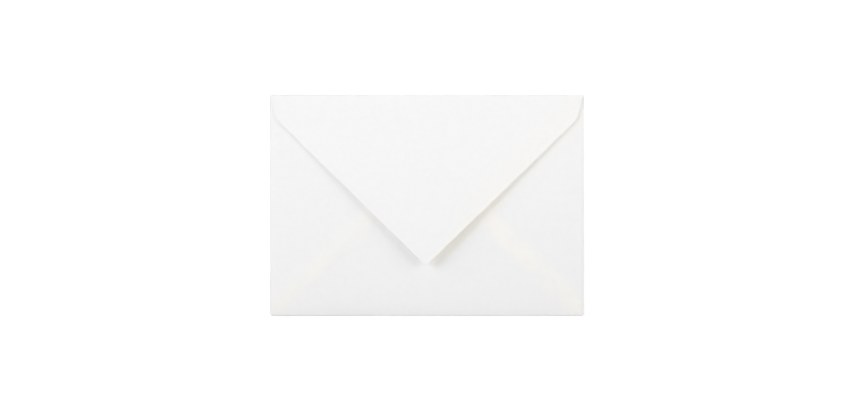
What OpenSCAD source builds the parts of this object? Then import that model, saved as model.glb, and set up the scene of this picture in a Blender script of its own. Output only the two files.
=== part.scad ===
// A pointed-flap letter envelope in C6 size, folded from one sheet of paper and lying on its front.
// Millimetres. The origin is the middle of the front panel's outer face, +Y points to the top fold
// and +Z is the back, where the side flaps, the bottom flap and the closure flap lie over each other.

/* [Envelope] */
// Width over the two side folds
envelope_w = 162; // [150:1:240]
// Height from the bottom fold to the top fold
envelope_h = 114; // [105:1:170]
// Thickness of the paper, 0.15 for 120 g per square metre
paper_t = 0.15; // [0.1:0.01:0.25]
// Clear height of the pocket, between the front panel and the side flaps
pocket_gap = 0.4; // [0.2:0.05:1]
// Length that is cut away at each corner, between the end of a fold and the line of the next fold
corner_cut = 0.25; // [0.1:0.05:1.5]
// Length of flat, straight-cut paper on each side of a fold, before a flap tapers or rises
fold_lap = 0.3; // [0.1:0.1:1]

/* [Closure flap] */
// Depth from the top fold to the rounded tip
flap_depth = 87.7; // [60:0.1:98]
// Radius of the tip
flap_tip_r = 1.8; // [0.5:0.1:10]
// Depth from the top fold at which the steep shoulder turns into the long edge
flap_shoulder = 12.7; // [6:0.1:20]
// Distance from the side of the envelope to that turn
flap_inset = 3.5; // [1:0.1:8]
// Radius of that turn
flap_shoulder_r = 2.5; // [1:0.5:10]
// Height by which the tip has sprung up off the back
flap_lift = 3.6; // [0.5:0.1:12]
// How the flap rises to its tip, from near 1 for straight to 2 for an even curve
flap_curl = 1.2; // [1.1:0.05:2]
// Sideways drift of the tip from the middle of the envelope, negative to the left
flap_drift = -0.5; // [-1:0.1:1]
// Clear height left between the bottom flap and a closure flap that lies flat on it
flap_clearance = 0.1; // [0.05:0.05:0.5]

/* [Bottom flap] */
// Height from the bottom fold to the rounded tip
bottom_depth = 84.5; // [70:0.1:95]
// Radius of the tip
bottom_tip_r = 8; // [1:0.5:15]
// Height at which the steep shoulder turns into the seam edge
bottom_shoulder = 9.9; // [6:0.1:12]
// Distance from the side of the envelope to that turn
bottom_inset = 1.5; // [1:0.1:8]
// Radius of that turn
bottom_shoulder_r = 6; // [1:0.5:10]
// Width of the glued seam, where the bottom flap covers a side flap
seam_overlap = 8; // [6.5:0.5:12]
// Depth by which the glued seam presses its two plies into each other
seam_press = 0.02; // [0.01:0.01:0.05]

/* [Side flaps] */
// Distance from the side fold to the point where a side flap's two long edges would meet
side_reach = 62; // [50:1:70]
// Radius that rounds that point
side_tip_r = 8; // [1:0.5:15]
// Distance from the side fold at which the top shoulder turns into the throat edge
side_shoulder = 5; // [3:0.5:12]
// Distance from the top fold to that turn
side_inset = 2.5; // [1.5:0.1:8]
// Radius of that turn
side_shoulder_r = 5; // [1:0.5:8]

/* [Hidden] */

// Round folds are true arcs. Rounded corners and the closure flap's rise are drawn in short steps
$fn = 64;
CORNER_STEPS = 12;
RISE_STEPS = 24;

// Height of each flap's underside. The flaps are stacked on the pocket and on each other
side_flap_z = paper_t + pocket_gap;
bottom_flap_z = side_flap_z + paper_t - seam_press;
closure_flap_z = bottom_flap_z + paper_t + flap_clearance;

// Outer radius of the half-round fold that carries a flap whose underside is at flap_z
function fold_r(flap_z) = (flap_z + paper_t) / 2;

// Lines where the flat front panel ends and a fold begins
side_line = envelope_w / 2 - fold_r(side_flap_z);
bottom_line = -envelope_h / 2 + fold_r(bottom_flap_z);
top_line = envelope_h / 2 - fold_r(closure_flap_z);

// Ends of the folds: half the length of the top and bottom folds, and the side folds' two ends
fold_half = side_line - corner_cut;
side_low = bottom_line + corner_cut;
side_high = top_line - corner_cut;

function unit(v) = v / norm(v);

// Points of the arc of radius r that rounds corner b of an outline that runs from a to c
function corner_arc(a, b, c, r) =
    let(
        back = unit(a - b),
        ahead = unit(c - b),
        half_angle = acos(back * ahead) / 2,
        centre = b + unit(back + ahead) * r / sin(half_angle),
        start = b + back * r / tan(half_angle) - centre,
        turn = sign(back[1] * ahead[0] - back[0] * ahead[1]) * (180 - 2 * half_angle)
    )
    [for (i = [0:CORNER_STEPS])
        let(angle = atan2(start[1], start[0]) + turn * i / CORNER_STEPS)
        centre + r * [cos(angle), sin(angle)]];

// Outline through corners given as [x, y, r], each rounded with its own radius r, or sharp where r is 0
function rounded(corners) =
    let(
        count = len(corners),
        spots = [for (corner = corners) [corner[0], corner[1]]]
    )
    [for (i = [0:count - 1])
        each corners[i][2] > 0
            ? corner_arc(spots[(i + count - 1) % count], spots[i], spots[(i + 1) % count], corners[i][2])
            : [spots[i]]];

// Depth at which a pointed flap's two long edges would meet, so that its round tip ends at depth
function point_depth(depth, tip_r, shoulder, half_w) =
    let(drop = depth - tip_r - shoulder)
    shoulder + half_w * tan(atan2(drop, half_w) + asin(tip_r / norm([half_w, drop])));

// Outline of a pointed flap that hangs down from the fold line y = 0, with its tip drift to the side.
// Its depths count from the fold's outer face, which stands edge above that line
function pointed_flap(edge, half_w, shoulder, shoulder_r, depth, tip_r, drift = 0) =
    rounded([
        [-fold_half, 0, 0],
        [-fold_half, -fold_lap, 0],
        [-half_w, edge - shoulder, shoulder_r],
        [drift, edge - point_depth(depth, tip_r, shoulder, half_w), tip_r],
        [half_w, edge - shoulder, shoulder_r],
        [fold_half, -fold_lap, 0],
        [fold_half, 0, 0]
    ]);

// A half-round fold that runs along X between two ends and stands out towards +Y. It turns the sheet
// from the front panel up to a flap whose underside is at flap_z, and laps onto both of them
module fold(from, to, flap_z) {
    translate([from, 0, fold_r(flap_z)])
        rotate([0, 90, 0])
            rotate_extrude(angle = 180)
                translate([fold_r(flap_z) - paper_t, 0])
                    square([paper_t, to - from]);
    for (z = [0, flap_z])
        translate([from, -fold_lap, z])
            cube([to - from, fold_lap, paper_t]);
}

module front_panel() {
    translate([-side_line, bottom_line, 0])
        cube([2 * side_line, top_line - bottom_line, paper_t]);
}

// Outline of the left side flap, measured from its fold line to the right. Its lower edge runs under
// the bottom flap's seam edge, parallel to it and seam_overlap inside it
function side_outline() =
    let(
        half_w = envelope_w / 2 - bottom_inset,
        seam_rise = point_depth(bottom_depth, bottom_tip_r, bottom_shoulder, half_w) - bottom_shoulder,
        slope = seam_rise / half_w,
        start = [side_line - half_w, -envelope_h / 2 + bottom_shoulder - seam_overlap * norm([1, slope])],
        tip_x = side_reach - fold_r(side_flap_z)
    )
    rounded([
        [fold_lap, side_high, 0],
        [0, side_high, 0],
        [0, side_low, 0],
        [start[0] + (side_low - start[1]) / slope, side_low, 0],
        [tip_x, start[1] + slope * (tip_x - start[0]), side_tip_r],
        [side_shoulder - fold_r(side_flap_z), envelope_h / 2 - side_inset, side_shoulder_r]
    ]);

// The left side flap
module side_flap() {
    translate([-side_line, 0, side_flap_z])
        linear_extrude(paper_t)
            polygon(side_outline());
    translate([-side_line, 0, 0])
        rotate([0, 0, 90])
            fold(side_low, side_high, side_flap_z);
}

// The bottom flap, glued over the side flaps along its two slanting edges
module bottom_flap() {
    edge = fold_r(bottom_flap_z);
    translate([0, bottom_line, 0])
        mirror([0, 1, 0]) {
            translate([0, 0, bottom_flap_z])
                linear_extrude(paper_t)
                    polygon(pointed_flap(
                        edge, envelope_w / 2 - bottom_inset,
                        bottom_shoulder, bottom_shoulder_r, bottom_depth, bottom_tip_r
                    ));
            fold(-fold_half, fold_half, bottom_flap_z);
        }
}

// Height of the closure flap's underside at a distance past its lap
function rise(distance) =
    closure_flap_z + flap_lift * pow(distance / (flap_depth - fold_r(closure_flap_z) - fold_lap), flap_curl);

// Side view of the closure flap, from its fold line towards -Y: flat over the lap, and then rising in
// steps that are shortest near the fold
function rise_section() =
    let(
        underside = [
            [0, closure_flap_z],
            for (i = [0:RISE_STEPS])
                let(distance = flap_depth * pow(i / RISE_STEPS, 2))
                [-fold_lap - distance, rise(distance)]
        ]
    )
    concat(underside, [for (i = [len(underside) - 1:-1:0]) underside[i] + [0, paper_t]]);

// The closure flap: its side view, drawn across the sheet and cut to the pointed outline
module closure_flap() {
    edge = fold_r(closure_flap_z);
    translate([0, top_line, 0]) {
        intersection() {
            translate([-envelope_w / 2, 0, 0])
                rotate([90, 0, 90])
                    linear_extrude(envelope_w)
                        polygon(rise_section());
            linear_extrude(rise(flap_depth) + 2 * paper_t)
                polygon(pointed_flap(
                    edge, envelope_w / 2 - flap_inset, flap_shoulder, flap_shoulder_r,
                    flap_depth, flap_tip_r, flap_drift
                ));
        }
        fold(-fold_half, fold_half, closure_flap_z);
    }
}

// The whole sheet: its front panel, with a flap folded over from each of the four sides
module envelope() {
    color([0.95, 0.95, 0.94]) {
        front_panel();
        side_flap();
        mirror([1, 0, 0]) side_flap();
        bottom_flap();
        closure_flap();
    }
}

envelope();
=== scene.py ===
import math

import bmesh
import bpy
import numpy as np
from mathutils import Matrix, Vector
from mathutils.geometry import delaunay_2d_cdt


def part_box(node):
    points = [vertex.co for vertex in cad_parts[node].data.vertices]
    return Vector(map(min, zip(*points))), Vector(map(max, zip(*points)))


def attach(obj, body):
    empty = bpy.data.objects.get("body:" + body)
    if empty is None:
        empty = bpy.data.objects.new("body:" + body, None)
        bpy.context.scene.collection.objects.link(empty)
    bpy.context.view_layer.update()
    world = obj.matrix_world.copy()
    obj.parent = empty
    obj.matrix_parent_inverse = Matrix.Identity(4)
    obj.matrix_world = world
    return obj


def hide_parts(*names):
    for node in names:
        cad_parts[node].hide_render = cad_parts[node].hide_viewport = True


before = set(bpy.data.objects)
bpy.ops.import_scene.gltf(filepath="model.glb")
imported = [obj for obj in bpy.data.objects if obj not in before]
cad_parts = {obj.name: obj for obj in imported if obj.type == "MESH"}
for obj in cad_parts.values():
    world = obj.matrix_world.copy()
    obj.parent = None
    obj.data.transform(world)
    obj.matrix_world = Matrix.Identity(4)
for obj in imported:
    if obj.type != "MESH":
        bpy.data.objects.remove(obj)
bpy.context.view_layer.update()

# The shape is worked out in millimetres and turned into metres when the mesh is made
MM = 0.001

# Overall size, from the envelope part
low_corner, high_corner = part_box("envelope")
WIDTH = (high_corner.x - low_corner.x) / MM
HEIGHT = (high_corner.y - low_corner.y) / MM

# The sheet, as the source has it
PAPER_T = 0.15
POCKET_GAP = 0.4
SEAM_PRESS = 0.02
FLAP_CLEARANCE = 0.1
CORNER_CUT = 0.25
FOLD_LAP = 0.3

# Closure flap
FLAP_DEPTH = 87.7
FLAP_TIP_R = 1.8
FLAP_SHOULDER = 12.7
FLAP_INSET = 3.5
FLAP_SHOULDER_R = 2.5
FLAP_LIFT = 3.6
FLAP_CURL = 1.2
FLAP_DRIFT = -0.5

# Bottom flap
BOTTOM_DEPTH = 84.5
BOTTOM_TIP_R = 8.0
BOTTOM_SHOULDER = 9.9
BOTTOM_INSET = 1.5
BOTTOM_SHOULDER_R = 6.0
SEAM_OVERLAP = 8.0

# Side flaps
SIDE_REACH = 62.0
SIDE_TIP_R = 8.0
SIDE_SHOULDER = 5.0
SIDE_INSET = 2.5
SIDE_SHOULDER_R = 5.0

# Heights of the flaps' undersides, which are stacked on the pocket and on each other
SIDE_Z = PAPER_T + POCKET_GAP
BOTTOM_Z = SIDE_Z + PAPER_T - SEAM_PRESS
CLOSURE_Z = BOTTOM_Z + PAPER_T + FLAP_CLEARANCE


def fold_r(flap_z):
    """Outer radius of the half-round fold that carries a flap whose underside is at flap_z."""
    return (flap_z + PAPER_T) / 2


# Lines where the flat front panel ends and a fold begins
SIDE_LINE = WIDTH / 2 - fold_r(SIDE_Z)
BOTTOM_LINE = -HEIGHT / 2 + fold_r(BOTTOM_Z)
TOP_LINE = HEIGHT / 2 - fold_r(CLOSURE_Z)

# Ends of the folds: half the length of the top and bottom folds, and the side folds' two ends
FOLD_HALF = SIDE_LINE - CORNER_CUT
SIDE_LOW = BOTTOM_LINE + CORNER_CUT
SIDE_HIGH = TOP_LINE - CORNER_CUT

# How the folded paper really lies. The back plies belly out between their folds by about PLUMP, which
# they reach over these distances from each fold
PLUMP = 0.55
PLUMP_SIDE_RUN = 12.0
PLUMP_BOTTOM_RUN = 3.4
PLUMP_TOP_RUN = 14.0

# The back plies also wave a little, along X and Y together and less along a slant. A run is the
# distance over which a wave's angle grows by a radian, and a start is its angle in the middle
WAVE = 0.07
WAVE_RUN_X = 23.0
WAVE_RUN_Y = 19.0
WAVE_START_X = 0.6
WAVE_START_Y = -0.4
SLANT_SHARE = 0.6
SLANT_LEAN = 1.7
SLANT_RUN = 31.0

# The bottom flap sinks to the front beside the side flaps that it covers, over SINK_RUN, and stays up
# within about ROOT_RUN of its own fold
SINK_RUN = 2.8
ROOT_RUN = 2.5

# Mesh spacing. Rims and folds share one spacing, so that they meet point to point
PANEL_STEP = 4.0
FLAP_STEP = 1.5
SEAM_STEP = 1.2
EDGE_STEP = 1.5
FOLD_STEPS = 10
CORNER_STEPS = 12

# Least distance of the points inside a rim from it, as a share of the spacing
RIM_CLEARANCE = 0.6

# Points closer than WELD are one point, or closer than FILL_WELD while an outline is filled, and a
# length below ROUNDING is none
WELD = 0.001
FILL_WELD = 0.0001
ROUNDING = 1e-6

# The triangulation's option that keeps only the triangles inside the rim
INSIDE_RIM = 1

# Faces that meet at less than this angle, in degrees, shade as one surface
SMOOTH_ANGLE = 40


def smooth(value):
    """Smooth step from 0 to 1 over a value from 0 to 1."""
    value = np.clip(value, 0.0, 1.0)
    return value * value * (3 - 2 * value)


def grow(distance, run):
    """Rise from 0 towards 1, most of it within a run or two."""
    return 1 - np.exp(-np.maximum(distance, 0) / run)


# Outlines, in the plan of the folded envelope
def unit(vector):
    """A vector's direction, with length 1."""
    return vector / np.linalg.norm(vector)


def corner_arc(before, corner, after, radius):
    """Points of the arc of the given radius that rounds a corner of an outline."""
    back = unit(before - corner)
    ahead = unit(after - corner)
    half_angle = math.acos(float(back @ ahead)) / 2
    centre = corner + unit(back + ahead) * radius / math.sin(half_angle)
    start = corner + back * radius / math.tan(half_angle) - centre
    turn = np.sign(back[1] * ahead[0] - back[0] * ahead[1]) * (math.pi - 2 * half_angle)
    first = math.atan2(start[1], start[0])
    angles = first + turn * np.arange(CORNER_STEPS + 1) / CORNER_STEPS
    return [centre + radius * np.array([math.cos(angle), math.sin(angle)]) for angle in angles]


def rounded(corners):
    """Outline through corners given as (x, y, radius), each rounded with its radius or sharp at 0."""
    spots = [np.array(corner[:2], float) for corner in corners]
    outline = []
    for index, corner in enumerate(corners):
        radius = corner[2]
        if radius > 0:
            after = spots[(index + 1) % len(spots)]
            outline += corner_arc(spots[index - 1], spots[index], after, radius)
        else:
            outline.append(spots[index])
    return outline


def point_depth(depth, tip_r, shoulder, half_w):
    """Depth at which a pointed flap's long edges would meet, so that its round tip ends at depth."""
    drop = depth - tip_r - shoulder
    lean = math.atan2(drop, half_w) + math.asin(tip_r / math.hypot(half_w, drop))
    return shoulder + half_w * math.tan(lean)


def pointed_flap(edge, half_w, shoulder, shoulder_r, depth, tip_r, drift=0):
    """Outline of a pointed flap that hangs down from a fold line at y = 0.

    Its depths count from the fold's outer face, which stands edge above that line.
    """
    return rounded([
        (-FOLD_HALF, 0, 0),
        (-FOLD_HALF, -FOLD_LAP, 0),
        (-half_w, edge - shoulder, shoulder_r),
        (drift, edge - point_depth(depth, tip_r, shoulder, half_w), tip_r),
        (half_w, edge - shoulder, shoulder_r),
        (FOLD_HALF, -FOLD_LAP, 0),
        (FOLD_HALF, 0, 0),
    ])


def closure_outline():
    """Outline of the closure flap, which hangs down from the top fold."""
    flap = pointed_flap(
        fold_r(CLOSURE_Z), WIDTH / 2 - FLAP_INSET, FLAP_SHOULDER, FLAP_SHOULDER_R,
        FLAP_DEPTH, FLAP_TIP_R, FLAP_DRIFT
    )
    return [point + (0, TOP_LINE) for point in flap]


def bottom_outline():
    """Outline of the bottom flap, which is such a flap upside down and stands on the bottom fold."""
    flap = pointed_flap(
        fold_r(BOTTOM_Z), WIDTH / 2 - BOTTOM_INSET, BOTTOM_SHOULDER, BOTTOM_SHOULDER_R,
        BOTTOM_DEPTH, BOTTOM_TIP_R
    )
    return [point * (1, -1) + (0, BOTTOM_LINE) for point in flap]


def seam_edge():
    """The bottom flap's right edge, from where its long edges would meet to its shoulder."""
    half_w = WIDTH / 2 - BOTTOM_INSET
    shoulder_y = -HEIGHT / 2 + BOTTOM_SHOULDER
    rise = point_depth(BOTTOM_DEPTH, BOTTOM_TIP_R, BOTTOM_SHOULDER, half_w) - BOTTOM_SHOULDER
    return (0, shoulder_y + rise), (half_w, shoulder_y)


def closure_edge():
    """The closure flap's right edge without its drift, from its shoulder to where its long edges meet."""
    half_w = WIDTH / 2 - FLAP_INSET
    shoulder_y = HEIGHT / 2 - FLAP_SHOULDER
    drop = point_depth(FLAP_DEPTH, FLAP_TIP_R, FLAP_SHOULDER, half_w) - FLAP_SHOULDER
    return (half_w, shoulder_y), (0, shoulder_y - drop)


def side_outline():
    """Outline of the left side flap, whose lower edge runs under the bottom flap's seam edge."""
    half_w = WIDTH / 2 - BOTTOM_INSET
    seam_rise = point_depth(BOTTOM_DEPTH, BOTTOM_TIP_R, BOTTOM_SHOULDER, half_w) - BOTTOM_SHOULDER
    slope = seam_rise / half_w
    start = (-half_w, -HEIGHT / 2 + BOTTOM_SHOULDER - SEAM_OVERLAP * math.hypot(1, slope))
    tip_x = -WIDTH / 2 + SIDE_REACH
    return rounded([
        (-SIDE_LINE, SIDE_HIGH, 0),
        (-SIDE_LINE, SIDE_LOW, 0),
        (start[0] + (SIDE_LOW - start[1]) / slope, SIDE_LOW, 0),
        (tip_x, start[1] + slope * (tip_x - start[0]), SIDE_TIP_R),
        (-WIDTH / 2 + SIDE_SHOULDER, HEIGHT / 2 - SIDE_INSET, SIDE_SHOULDER_R),
        (-SIDE_LINE + FOLD_LAP, SIDE_HIGH, 0),
    ])


def mirrored(outline):
    """The same outline on the other side of the middle, run through in the same direction."""
    return [point * (-1, 1) for point in reversed(outline)]


LEFT_OUTLINE = side_outline()
RIGHT_OUTLINE = mirrored(LEFT_OUTLINE)
BOTTOM_OUTLINE = bottom_outline()
CLOSURE_OUTLINE = closure_outline()


# Distances in the plan
def distance_to_outline(points, outline):
    """Distance from each point to the nearest of an outline's sides."""
    corners = np.array(outline)
    nearest = np.full(len(points), np.inf)
    for start, end in zip(corners, np.roll(corners, -1, axis=0)):
        along = end - start
        length_squared = along @ along
        if length_squared == 0:
            continue
        share = np.clip(((points - start) @ along) / length_squared, 0, 1)
        off_side = points - start - share[:, None] * along
        nearest = np.minimum(nearest, np.linalg.norm(off_side, axis=1))
    return nearest


def inside(points, outline):
    """True for each point that lies inside an outline."""
    x, y = points[:, 0], points[:, 1]
    result = np.zeros(len(points), bool)
    for start, end in zip(outline, np.roll(np.array(outline), -1, axis=0)):
        crosses = (start[1] > y) != (end[1] > y)
        with np.errstate(divide="ignore", invalid="ignore"):
            x_at = start[0] + (y - start[1]) * (end[0] - start[0]) / (end[1] - start[1])
        result ^= crosses & (x < x_at)
    return result


# How high the middle of each ply lies over the plan
def belly(points):
    """Height by which the back plies stand out from their folds."""
    x, y = points[:, 0], points[:, 1]
    held = (
        grow(SIDE_LINE - np.abs(x), PLUMP_SIDE_RUN)
        * grow(y - BOTTOM_LINE, PLUMP_BOTTOM_RUN)
        * grow(TOP_LINE - y, PLUMP_TOP_RUN)
    )
    wave = np.sin(x / WAVE_RUN_X + WAVE_START_X) * np.cos(y / WAVE_RUN_Y + WAVE_START_Y)
    slant_wave = SLANT_SHARE * np.sin((x + SLANT_LEAN * y) / SLANT_RUN)
    return held * (PLUMP + WAVE * (wave + slant_wave))


def panel_height(points):
    """The front panel is flat."""
    return np.full(len(points), PAPER_T / 2)


def side_height(points):
    """The side flaps lie over the pocket and belly out."""
    return SIDE_Z + PAPER_T / 2 + belly(points)


def bottom_height(points):
    """The bottom flap lies on the side flaps, sinks beside them and meets its own fold."""
    off_flaps = np.full(len(points), np.inf)
    for outline in (LEFT_OUTLINE, RIGHT_OUTLINE):
        off = np.where(inside(points, outline), 0, distance_to_outline(points, outline))
        off_flaps = np.minimum(off_flaps, off)
    carried = 1 - smooth(off_flaps / SINK_RUN)
    near_fold = np.exp(-np.maximum(points[:, 1] - BOTTOM_LINE, 0) / ROOT_RUN)
    carried = np.maximum(carried, near_fold)
    return SIDE_Z + PAPER_T / 2 + belly(points) + (PAPER_T - SEAM_PRESS) * carried


def closure_height(points):
    """The closure flap leaves its fold flat and rises along a curve to its sprung-up tip."""
    run = FLAP_DEPTH - fold_r(CLOSURE_Z) - FOLD_LAP
    distance = np.maximum(TOP_LINE - FOLD_LAP - points[:, 1], 0)
    return CLOSURE_Z + PAPER_T / 2 + FLAP_LIFT * (distance / run) ** FLAP_CURL


# Plies that the paper material tells apart, as (glued, closure)
PANEL = (0, 0)
GLUED = (1, 0)
CLOSURE = (0, 1)


# Mesh making
def spaced(start, end, step):
    """Points from start towards end, no further than step apart, without the end."""
    count = max(1, math.ceil(np.linalg.norm(end - start) / step - ROUNDING))
    return [start + (end - start) * index / count for index in range(count)]


def fill(outline, step):
    """Triangles that fill an outline, as (points, triangles)."""
    rim = []
    for start, end in zip(outline, outline[1:] + outline[:1]):
        if np.linalg.norm(end - start) > ROUNDING:
            rim += spaced(start, end, EDGE_STEP)
    low, high = np.min(rim, axis=0), np.max(rim, axis=0)
    xs = np.arange(math.floor(low[0] / step), math.ceil(high[0] / step) + 1) * step
    ys = np.arange(math.floor(low[1] / step), math.ceil(high[1] / step) + 1) * step
    grid = np.array([(x, y) for x in xs for y in ys])
    grid = grid[inside(grid, rim)]
    grid = grid[distance_to_outline(grid, rim) > RIM_CLEARANCE * min(step, EDGE_STEP)]
    points = [Vector(point) for point in rim] + [Vector(point) for point in grid]
    rim_face = list(range(len(rim)))
    made = delaunay_2d_cdt(points, [], [rim_face], INSIDE_RIM, FILL_WELD)
    return np.array([tuple(point) for point in made[0]]), [tuple(face) for face in made[2]]


def area_sign(points, face):
    """Number whose sign is positive where a face runs anticlockwise in the plan."""
    a, b, c = (points[index] for index in face[:3])
    return (b[0] - a[0]) * (c[1] - a[1]) - (b[1] - a[1]) * (c[0] - a[0])


class Sheet:
    """The middle surface of the paper, gathered piece by piece. Its faces look out of the envelope.

    Each point also has its ply, and a number from 0 on flat paper to 1 in the middle of a fold.
    """

    def __init__(self):
        self.points = []
        self.faces = []
        self.plies = []
        self.folds = []

    def add_point(self, spot, z, ply, fold):
        self.points.append((spot[0], spot[1], z))
        self.plies.append(ply)
        self.folds.append(fold)

    def add_ply(self, outline, height, ply, step, up):
        """A flat or bellied ply, whose faces look up or down."""
        plan, faces = fill(outline, step)
        first = len(self.points)
        for spot, z in zip(plan, height(plan)):
            self.add_point(spot, z, ply, 0)
        for face in faces:
            turned = face if (area_sign(plan, face) > 0) == up else face[::-1]
            self.faces.append(tuple(first + index for index in turned))

    def add_fold(self, start, end, outward, flap_z, ply):
        """A half-round fold from start to end, which stands out along outward."""
        middle = fold_r(flap_z)
        radius = middle - PAPER_T / 2
        stations = spaced(start, end, EDGE_STEP) + [end]
        first = len(self.points)
        for step in range(FOLD_STEPS + 1):
            angle = math.pi * step / FOLD_STEPS
            reach, z = radius * math.sin(angle), middle - radius * math.cos(angle)
            for spot in stations:
                self.add_point(spot + reach * outward, z, ply, math.sin(angle))
        count = len(stations)
        for step in range(FOLD_STEPS):
            for column in range(count - 1):
                corner = first + step * count + column
                self.faces.append((corner, corner + count, corner + count + 1, corner + 1))


def fold_sheet():
    """The whole sheet: its front panel, its four flaps and the folds between them."""
    sheet = Sheet()
    left, right = -SIDE_LINE, SIDE_LINE
    top_ends = (np.array([FOLD_HALF, TOP_LINE]), np.array([-FOLD_HALF, TOP_LINE]))
    bottom_ends = (np.array([-FOLD_HALF, BOTTOM_LINE]), np.array([FOLD_HALF, BOTTOM_LINE]))
    left_ends = (np.array([left, SIDE_HIGH]), np.array([left, SIDE_LOW]))
    right_ends = (np.array([right, SIDE_LOW]), np.array([right, SIDE_HIGH]))
    panel = [
        np.array([left, BOTTOM_LINE]), *bottom_ends,
        np.array([right, BOTTOM_LINE]), *right_ends,
        np.array([right, TOP_LINE]), *top_ends,
        np.array([left, TOP_LINE]), *left_ends,
    ]
    sheet.add_ply(panel, panel_height, PANEL, PANEL_STEP, up=False)
    sheet.add_ply(LEFT_OUTLINE, side_height, GLUED, FLAP_STEP, up=True)
    sheet.add_ply(RIGHT_OUTLINE, side_height, GLUED, FLAP_STEP, up=True)
    sheet.add_ply(BOTTOM_OUTLINE, bottom_height, GLUED, SEAM_STEP, up=True)
    sheet.add_ply(CLOSURE_OUTLINE, closure_height, CLOSURE, FLAP_STEP, up=True)
    sheet.add_fold(*bottom_ends, np.array([0, -1]), BOTTOM_Z, PANEL)
    sheet.add_fold(*right_ends, np.array([1, 0]), SIDE_Z, PANEL)
    sheet.add_fold(*top_ends, np.array([0, 1]), CLOSURE_Z, PANEL)
    sheet.add_fold(*left_ends, np.array([-1, 0]), SIDE_Z, PANEL)
    return sheet


def middle_surface(sheet):
    """The sheet's middle surface in metres, with its pieces welded and its facts on its points."""
    middle = bmesh.new()
    for point in sheet.points:
        middle.verts.new(Vector(point) * MM)
    facts = middle.verts.layers.float_vector.new("facts")
    middle.verts.ensure_lookup_table()
    for vert, ply, fold in zip(middle.verts, sheet.plies, sheet.folds):
        vert[facts] = (*ply, fold)
    for face in sheet.faces:
        middle.faces.new([middle.verts[index] for index in face])
    bmesh.ops.remove_doubles(middle, verts=middle.verts, dist=WELD * MM)
    middle.normal_update()
    middle.verts.index_update()
    return middle


def thickened(middle):
    """Closed surface of the paper: both of its faces, and its cut edges between them."""
    facts = middle.verts.layers.float_vector["facts"]
    solid = bmesh.new()
    glued = solid.verts.layers.float.new("glued")
    closure = solid.verts.layers.float.new("closure")
    folded = solid.verts.layers.float.new("folded")
    inner = solid.verts.layers.float.new("inner")
    for side, shift in enumerate((PAPER_T / 2 * MM, -PAPER_T / 2 * MM)):
        for vert in middle.verts:
            made = solid.verts.new(vert.co + vert.normal * shift)
            made[glued], made[closure], made[folded] = vert[facts]
            made[inner] = side
    solid.verts.ensure_lookup_table()
    count = len(middle.verts)
    for face in middle.faces:
        corners = [vert.index for vert in face.verts]
        solid.faces.new([solid.verts[index] for index in corners])
        solid.faces.new([solid.verts[count + index] for index in reversed(corners)])
    for edge in middle.edges:
        if edge.is_boundary:
            loop = edge.link_loops[0]
            a, b = loop.vert.index, loop.link_loop_next.vert.index
            solid.faces.new([solid.verts[index] for index in (b, a, count + a, count + b)])
    return solid


def make_envelope():
    """The folded sheet with its real thickness, as one closed mesh."""
    middle = middle_surface(fold_sheet())
    solid = thickened(middle)
    mesh = bpy.data.meshes.new("sheet")
    solid.to_mesh(mesh)
    middle.free()
    solid.free()
    mesh.shade_smooth()
    mesh.set_sharp_from_angle(angle=math.radians(SMOOTH_ANGLE))
    sheet_piece = bpy.data.objects.new("sheet", mesh)
    bpy.context.scene.collection.objects.link(sheet_piece)
    return sheet_piece


# Finish of the paper and of the dry gum on it, with painted shade on its folds and painted warm bounce
# light beside the closure flap's right edge
PAPER_COLOR = (0.911, 0.91, 0.911, 1)
SEAM_COLOR = (0.944, 0.934, 0.898, 1)
GUMMED_COLOR = (0.916, 0.91, 0.892, 1)
# Painted warm bounce light, as from the gum under the closure flap, beside that flap's right edge and in
# its shadow
PAINTED_BOUNCE_COLOR = (0.943, 0.923, 0.862, 1)
# Painted shade on the folds
FOLD_SHADE_COLOR = (0.7, 0.7, 0.695, 1)
GUM_COLOR = (0.86, 0.84, 0.76, 1)
PAPER_ROUGHNESS = 0.85
GUM_ROUGHNESS = 0.3
ROUGHNESS_SPREAD = 0.04
PAPER_SPECULAR = 0.3

# Marks in the paper, by their width in millimetres: clouds and patches of its formation, fibres that
# lie in two directions, and a fine tooth. Fibres are stretched by a factor and turned by some degrees
CLOUD_SIZE = 2.4
PATCH_SIZE = 14
FIBRE_SIZE = 0.16
FIBRE_STRETCH = 4.5
FIBRE_TURN = 8
CROSS_FIBRE_STRETCH = 3.5
CROSS_FIBRE_TURN = 74
TOOTH_SIZE = 0.11

# Detail of the noise: plain marks, and marks with finer ones in them
PLAIN = 2
FINE = 3

# Relief of the paper: its depth in millimetres, what each mark gives to it, and how much of it gum fills
RELIEF_DEPTH = 0.02
FIBRE_SHARE = 0.45
CROSS_FIBRE_SHARE = 0.3
TOOTH_SHARE = 0.25
GUM_SMOOTHING = 0.8

# Bands along an edge, as (start, end, softness) in millimetres inside that edge
SEAM_BAND = (0.4, SEAM_OVERLAP + 2, 3.6)
GUM_BAND = (2.5, 14, 0.4)
GUMMED_BAND = (-5, 11, 4.5)

# Ramps, as (start, end, value at the start, value at the end). These run over the noises
CLOUD_SHADE = (0.25, 0.75, 0.993, 1.007)
CLOUD_ROUGHNESS = (0.3, 0.7, PAPER_ROUGHNESS + ROUGHNESS_SPREAD, PAPER_ROUGHNESS - ROUGHNESS_SPREAD)
SEAM_PATCHES = (0.3, 0.6, 0.45, 1.0)
CREASE_PATCHES = (0.35, 0.65, 0.7, 1.0)

# These run over the marks on the mesh: the inner face, and the way round a fold
INNER_FACE = (0.9, 1.0, 0.0, 1.0)
FOLD_ROUND = (0, 0.7, 0.0, 1.0)

# These run over X in metres, from the left to the right
SEAM_ACROSS = (-0.02, 0.02, 0.6, 1.0)
GUMMED_ACROSS = (0, 0.04, 0.0, 1.0)
BOUNCE_ACROSS = (0, 0.004, 0.0, 1.0)
CREASE_ACROSS = (-0.07, 0, 1.0, 0.2)

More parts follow.
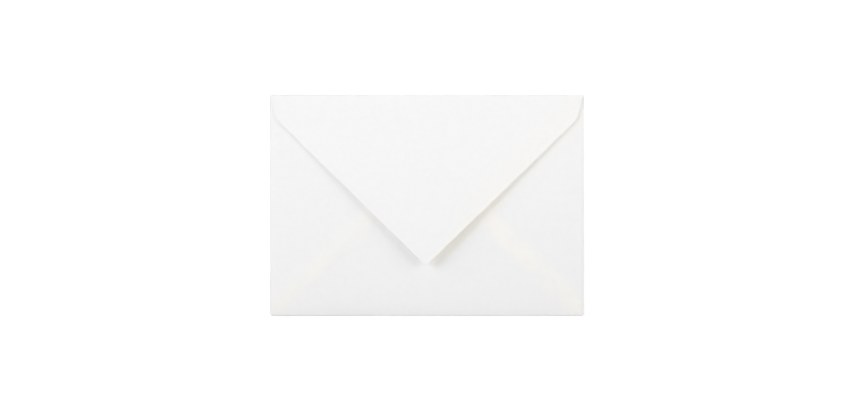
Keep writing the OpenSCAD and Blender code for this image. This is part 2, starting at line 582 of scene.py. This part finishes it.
# These run over Y in metres: the painted bounce light grows towards the flap's tip, as the flap's shadow
# widens, and ends below it
BOUNCE_DOWN = (0.018, -0.004, 0.45, 1.0)
BOUNCE_END = (-0.035, -0.028, 0.0, 1.0)

# These run over millimetres inside the closure flap's edge: from the back beside it onto the flap
BOUNCE_ENTER = (-7, -1.5, 0.0, 1.0)
BOUNCE_LEAVE = (-0.5, 3, 1.0, 0.0)

# A Mix node's sockets for its share, its two colours and their mix
MIX_SHARE = 0
MIX_FIRST = 6
MIX_SECOND = 7
MIX_RESULT = 2


class Graph:
    """The nodes of one material, with short ways to add and link them."""

    def __init__(self, name):
        self.material = bpy.data.materials.new(name)
        self.material.use_nodes = True
        self.nodes = self.material.node_tree.nodes
        self.shader = self.nodes["Principled BSDF"]
        self.place = self.nodes.new("ShaderNodeTexCoord").outputs["Object"]

    def link(self, value, socket):
        """Link an output to a socket, or set a plain value on it."""
        if isinstance(value, bpy.types.NodeSocket):
            self.material.node_tree.links.new(value, socket)
        else:
            socket.default_value = value

    def math(self, operation, first, second=0.0):
        made = self.nodes.new("ShaderNodeMath")
        made.operation = operation
        self.link(first, made.inputs[0])
        self.link(second, made.inputs[1])
        return made.outputs["Value"]

    def product(self, first, *others):
        for other in others:
            first = self.math("MULTIPLY", first, other)
        return first

    def ramp(self, value, start, end, low=0.0, high=1.0):
        """Smooth step from low at start to high at end."""
        made = self.nodes.new("ShaderNodeMapRange")
        made.interpolation_type = "SMOOTHSTEP"
        numbers = (value, start, end, low, high)
        names = ("Value", "From Min", "From Max", "To Min", "To Max")
        for name, number in zip(names, numbers):
            self.link(number, made.inputs[name])
        return made.outputs["Result"]

    def band(self, distance, start, end, soft):
        """1 where a distance lies between start and end, with soft edges."""
        enter = self.ramp(distance, start - soft, start + soft)
        leave = self.ramp(distance, end - soft, end + soft, 1.0, 0.0)
        return self.product(enter, leave)

    def noise(self, size, detail, stretch=1, turn=0):
        """Noise whose marks are about size millimetres wide, stretched along X and turned about Z."""
        mapping = self.nodes.new("ShaderNodeMapping")
        mapping.vector_type = "TEXTURE"
        mapping.inputs["Rotation"].default_value = (0, 0, math.radians(turn))
        mapping.inputs["Scale"].default_value = (size * MM * stretch, size * MM, size * MM)
        self.link(self.place, mapping.inputs["Vector"])
        made = self.nodes.new("ShaderNodeTexNoise")
        made.inputs["Scale"].default_value = 1
        made.inputs["Detail"].default_value = detail
        self.link(mapping.outputs["Vector"], made.inputs["Vector"])
        return made.outputs["Fac"]

    def mix(self, share, first, second):
        made = self.nodes.new("ShaderNodeMix")
        made.data_type = "RGBA"
        self.link(share, made.inputs[MIX_SHARE])
        self.link(first, made.inputs[MIX_FIRST])
        self.link(second, made.inputs[MIX_SECOND])
        return made.outputs[MIX_RESULT]

    def attribute(self, name):
        made = self.nodes.new("ShaderNodeAttribute")
        made.attribute_name = name
        return made.outputs["Fac"]

    def bump(self, height, depth):
        """Bump of a height from 0 to 1 that is depth millimetres deep."""
        made = self.nodes.new("ShaderNodeBump")
        made.inputs["Strength"].default_value = 1
        made.inputs["Distance"].default_value = depth * MM
        self.link(height, made.inputs["Height"])
        return made.outputs["Normal"]


class Paper(Graph):
    """White uncoated paper, a little warmer over its glued seams and over the gum at the flap's right edge,
    with painted warm bounce light beside that edge and painted shade on its folds.
    """

    def __init__(self):
        super().__init__("paper")
        split = self.nodes.new("ShaderNodeSeparateXYZ")
        self.link(self.place, split.inputs["Vector"])
        self.x = split.outputs["X"]
        self.y = split.outputs["Y"]
        self.off_middle = self.math("ABSOLUTE", self.x)
        self.in_seam = self.inside_edge(*seam_edge())
        self.in_flap = self.inside_edge(*closure_edge())
        self.clouds = self.noise(CLOUD_SIZE, FINE)
        self.patches = self.noise(PATCH_SIZE, PLAIN)
        self.glued = self.attribute("glued")
        self.closure = self.attribute("closure")
        self.folded = self.attribute("folded")
        under = self.ramp(self.attribute("inner"), *INNER_FACE)
        self.gum = self.product(self.band(self.in_flap, *GUM_BAND), self.closure, under)

    def inside_edge(self, start, end):
        """Distance in millimetres inside an edge on the right, and inside its mirror image on the left.

        The edge runs from start to end and has the flap on its right.
        """
        direction = unit(np.array(end) - np.array(start))
        normal = (direction[1], -direction[0])
        offset = normal[0] * start[0] + normal[1] * start[1]
        reach = self.product(self.off_middle, normal[0] / MM)
        height = self.product(self.y, normal[1] / MM)
        return self.math("SUBTRACT", self.math("ADD", reach, height), offset)

    def seam_tone(self):
        """Share of the warm tone over the glued seams, which is patchy and weaker on the left."""
        return self.product(
            self.band(self.in_seam, *SEAM_BAND), self.glued,
            self.ramp(self.patches, *SEAM_PATCHES), self.ramp(self.x, *SEAM_ACROSS)
        )

    def gummed_tone(self):
        """Share of the warm tone along the closure flap's right edge, over its gum."""
        across = self.ramp(self.x, *GUMMED_ACROSS)
        return self.product(self.band(self.in_flap, *GUMMED_BAND), self.closure, across)

    def painted_bounce_tone(self):
        """Share of the painted warm bounce light, as from the gum, at the closure flap's right edge, on the
        flap and on the back beside it, in the flap's shadow.
        """
        return self.product(
            self.ramp(self.in_flap, *BOUNCE_ENTER), self.ramp(self.in_flap, *BOUNCE_LEAVE),
            self.math("MAXIMUM", self.glued, self.closure),
            self.ramp(self.y, *BOUNCE_DOWN), self.ramp(self.y, *BOUNCE_END), self.ramp(self.x, *BOUNCE_ACROSS)
        )

    def painted_crease_shade(self):
        """Share of the painted shade on the folds, which is patchy and strongest on the left one."""
        return self.product(
            self.ramp(self.folded, *FOLD_ROUND),
            self.ramp(self.patches, *CREASE_PATCHES), self.ramp(self.x, *CREASE_ACROSS)
        )

    def color(self):
        """The plain paper's colour under each of its tones, among them painted shade on the folds and
        painted bounce light beside the flap, shaded by its clouds.
        """
        tones = (
            (self.seam_tone(), SEAM_COLOR),
            (self.gummed_tone(), GUMMED_COLOR),
            (self.painted_bounce_tone(), PAINTED_BOUNCE_COLOR),
            (self.painted_crease_shade(), FOLD_SHADE_COLOR),
            (self.gum, GUM_COLOR),
        )
        color = PAPER_COLOR
        for share, tone in tones:
            color = self.mix(share, color, tone)
        shade = self.nodes.new("ShaderNodeHueSaturation")
        self.link(self.ramp(self.clouds, *CLOUD_SHADE), shade.inputs["Value"])
        self.link(color, shade.inputs["Color"])
        return shade.outputs["Color"]

    def roughness(self):
        """The paper's roughness, which its clouds vary a little, and less of it under gum."""
        plain = self.ramp(self.clouds, *CLOUD_ROUGHNESS)
        return self.math("ADD", plain, self.product(self.gum, GUM_ROUGHNESS - PAPER_ROUGHNESS))

    def relief(self):
        """Height of the fibres and the tooth, lower under gum and up to twice as high on a fold."""
        fibres = self.noise(FIBRE_SIZE, FINE, FIBRE_STRETCH, FIBRE_TURN)
        cross_fibres = self.noise(FIBRE_SIZE, FINE, CROSS_FIBRE_STRETCH, CROSS_FIBRE_TURN)
        tooth = self.noise(TOOTH_SIZE, PLAIN)
        both_ways = self.math(
            "ADD", self.product(fibres, FIBRE_SHARE), self.product(cross_fibres, CROSS_FIBRE_SHARE)
        )
        height = self.math("ADD", both_ways, self.product(tooth, TOOTH_SHARE))
        left_by_gum = self.math("ADD", self.product(self.gum, -GUM_SMOOTHING), 1)
        raised_by_fold = self.math("ADD", self.folded, 1)
        return self.product(height, left_by_gum, raised_by_fold)


def paper_material():
    """The paper's finish, joined to its shader."""
    paper = Paper()
    paper.link(paper.color(), paper.shader.inputs["Base Color"])
    paper.link(paper.roughness(), paper.shader.inputs["Roughness"])
    paper.shader.inputs["Specular IOR Level"].default_value = PAPER_SPECULAR
    paper.link(paper.bump(paper.relief(), RELIEF_DEPTH), paper.shader.inputs["Normal"])
    return paper.material


# Camera, straight above the envelope. The photo is 854 pixels wide, and the envelope 314 of them
PHOTO_PIXELS = 854
ENVELOPE_PIXELS = 314
LENS = 85
SENSOR = 36
CLIP_START = 0.01
VIEW_WIDTH = WIDTH * MM * PHOTO_PIXELS / ENVELOPE_PIXELS
CAMERA_Z = VIEW_WIDTH * LENS / SENSOR + BOTTOM_Z * MM

# Share of full light that comes evenly from all round
WORLD_SHARE = 0.1

# Floor, just below the front panel, so that the two faces don't lie in one plane
FLOOR_SIZE = 6.0
FLOOR_DROP = 0.00002
FLOOR_COLOR = (0.8, 0.8, 0.8, 1)
FLOOR_ROUGHNESS = 0.9
FLOOR_SEEN_COLOR = (0.6, 0.6, 0.6, 1)
WHITE = (1, 1, 1, 1)

# Glow of the floor as it is seen, as a ramp over the distance from the envelope's middle in metres
FLOOR_GLOW = (0.15, 0.6, 0.5, 1.0)


def make_camera():
    data = bpy.data.cameras.new("camera")
    data.lens = LENS
    data.sensor_width = SENSOR
    data.clip_start = CLIP_START
    camera = bpy.data.objects.new("camera", data)
    camera.location = (0, 0, CAMERA_Z)
    bpy.context.scene.collection.objects.link(camera)
    bpy.context.scene.camera = camera


def polar(distance, azimuth, elevation):
    """Place at a distance from the origin, with its azimuth from +X and its elevation in degrees."""
    azimuth, elevation = math.radians(azimuth), math.radians(elevation)
    reach = distance * math.cos(elevation)
    return (reach * math.cos(azimuth), reach * math.sin(azimuth), distance * math.sin(elevation))


def add_light(data, place, aim):
    light = bpy.data.objects.new(data.name, data)
    light.location = place
    light.rotation_euler = (Vector(aim) - Vector(place)).to_track_quat("-Z", "Y").to_euler()
    light.visible_camera = False
    bpy.context.scene.collection.objects.link(light)


def soft_box(name, place, size, share):
    """A square soft box that looks at the origin and gives it this share of full light."""
    distance = Vector(place).length
    data = bpy.data.lights.new(name, "AREA")
    data.size = size
    data.energy = share * math.pi ** 2 * distance ** 3 / place[2]
    add_light(data, place, (0, 0, 0))


def soft_spot(name, place, aim, size, reach, share):
    """A round spot that gives this share of full light, less towards reach from its aim and then none."""
    height = place[2]
    data = bpy.data.lights.new(name, "SPOT")
    data.shadow_soft_size = size / 2
    data.spot_blend = 1
    data.spot_size = 2 * math.atan2(reach, height)
    data.energy = share * 4 * math.pi ** 2 * height ** 2
    add_light(data, place, aim)


def make_lights():
    """The lamps, in metres and degrees. The spot aims past the top fold, so it fades towards the bottom."""
    soft_box("key_left", polar(distance=1.25, azimuth=161, elevation=25), size=0.75, share=0.27)
    soft_box("fill_right", polar(distance=1.05, azimuth=17, elevation=25), size=0.62, share=0.193)
    soft_box("back_above", (0.01, 0.12, 0.4), size=0.3, share=0.08)
    soft_spot("overhead", (0, 0.075, 1.6), aim=(0, 0.15, 0), size=0.3, reach=0.6, share=0.412)


def background_rays(tree):
    """1 for rays that show the background itself: from the camera, in gloss and through glass."""
    path = tree.nodes.new("ShaderNodeLightPath")
    share = path.outputs["Is Camera Ray"]
    for name in ("Is Glossy Ray", "Is Transmission Ray"):
        either = tree.nodes.new("ShaderNodeMath")
        either.operation = "MAXIMUM"
        tree.links.new(share, either.inputs[0])
        tree.links.new(path.outputs[name], either.inputs[1])
        share = either.outputs["Value"]
    return share


def show_instead(tree, plain, seen, surface):
    """Join a plain shader, and the shader that background rays meet, to the output's surface."""
    mix = tree.nodes.new("ShaderNodeMixShader")
    tree.links.new(background_rays(tree), mix.inputs["Fac"])
    tree.links.new(plain, mix.inputs[1])
    tree.links.new(seen, mix.inputs[2])
    tree.links.new(mix.outputs["Shader"], surface)


def make_world():
    """Even light from all round, seen as white."""
    world = bpy.data.worlds.new("studio")
    world.use_nodes = True
    tree = world.node_tree
    light = tree.nodes["Background"]
    light.inputs["Color"].default_value = WHITE
    light.inputs["Strength"].default_value = WORLD_SHARE
    seen = tree.nodes.new("ShaderNodeBackground")
    seen.inputs["Color"].default_value = WHITE
    seen.inputs["Strength"].default_value = 1
    surface = tree.nodes["World Output"].inputs["Surface"]
    show_instead(tree, light.outputs["Background"], seen.outputs["Background"], surface)
    bpy.context.scene.world = world


def floor_material():
    """Pale where it lights the envelope, and seen as white, with the envelope's shadow on it."""
    graph = Graph("floor")
    graph.shader.inputs["Base Color"].default_value = FLOOR_COLOR
    graph.shader.inputs["Roughness"].default_value = FLOOR_ROUGHNESS
    graph.shader.inputs["Specular IOR Level"].default_value = 0
    seen = graph.nodes.new("ShaderNodeBsdfDiffuse")
    seen.inputs["Color"].default_value = FLOOR_SEEN_COLOR
    distance = graph.nodes.new("ShaderNodeVectorMath")
    distance.operation = "LENGTH"
    graph.link(graph.place, distance.inputs[0])
    glow = graph.nodes.new("ShaderNodeEmission")
    graph.link(graph.ramp(distance.outputs["Value"], *FLOOR_GLOW), glow.inputs["Strength"])
    lifted = graph.nodes.new("ShaderNodeAddShader")
    graph.link(seen.outputs["BSDF"], lifted.inputs[0])
    graph.link(glow.outputs["Emission"], lifted.inputs[1])
    tree = graph.material.node_tree
    surface = graph.nodes["Material Output"].inputs["Surface"]
    show_instead(tree, graph.shader.outputs["BSDF"], lifted.outputs["Shader"], surface)
    return graph.material


def make_floor():
    plane = bmesh.new()
    bmesh.ops.create_grid(plane, x_segments=1, y_segments=1, size=FLOOR_SIZE / 2)
    mesh = bpy.data.meshes.new("floor")
    plane.to_mesh(mesh)
    plane.free()
    mesh.materials.append(floor_material())
    floor = bpy.data.objects.new("floor", mesh)
    floor.location.z = -FLOOR_DROP
    bpy.context.scene.collection.objects.link(floor)


make_camera()
make_lights()
make_world()
make_floor()

envelope = make_envelope()
envelope.data.materials.append(paper_material())
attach(envelope, "root")
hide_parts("envelope")

bpy.context.scene.view_settings.view_transform = "Standard"
